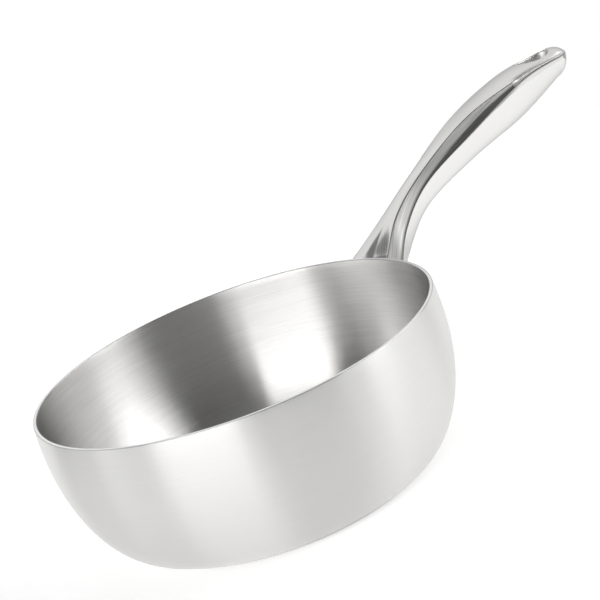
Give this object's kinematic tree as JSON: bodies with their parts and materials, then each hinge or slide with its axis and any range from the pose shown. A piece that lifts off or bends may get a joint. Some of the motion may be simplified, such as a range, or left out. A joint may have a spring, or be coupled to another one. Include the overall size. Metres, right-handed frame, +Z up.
{
  "type": "deep saute pan",
  "caption": "Round-sided clad stainless saute pan with a flat coined foot, ground rim and a long curved hollow handle with an oval hanging hole.",
  "frame": {"origin": "centre of the flat underside of the foot", "axes": "+Z up along the bowl's axis, +X along the handle, from the bowl to the handle's tip"},
  "size_m": [0.3867, 0.2014, 0.1229],
  "materials": {
    "brushed_lining": "brushed round the axis",
    "aluminium_core": "plain, seen only at the ground rim",
    "brushed_skin": "fine brushed round the axis",
    "polished_handle": "mirror polished stainless",
    "plain_steel": "plain, hidden"
  },
  "bodies": {
    "root": {"inner_lining": "brushed_lining", "aluminium_core": "aluminium_core", "outer_skin": "brushed_skin", "handle_upper_shell": "polished_handle", "handle_lower_shell": "polished_handle", "hanging_eye": "polished_handle", "root_plate": "plain_steel", "weld_spot_1": "plain_steel", "weld_spot_2": "plain_steel", "weld_spot_3": "plain_steel", "weld_spot_4": "plain_steel"}
  },
  "joints": []
}
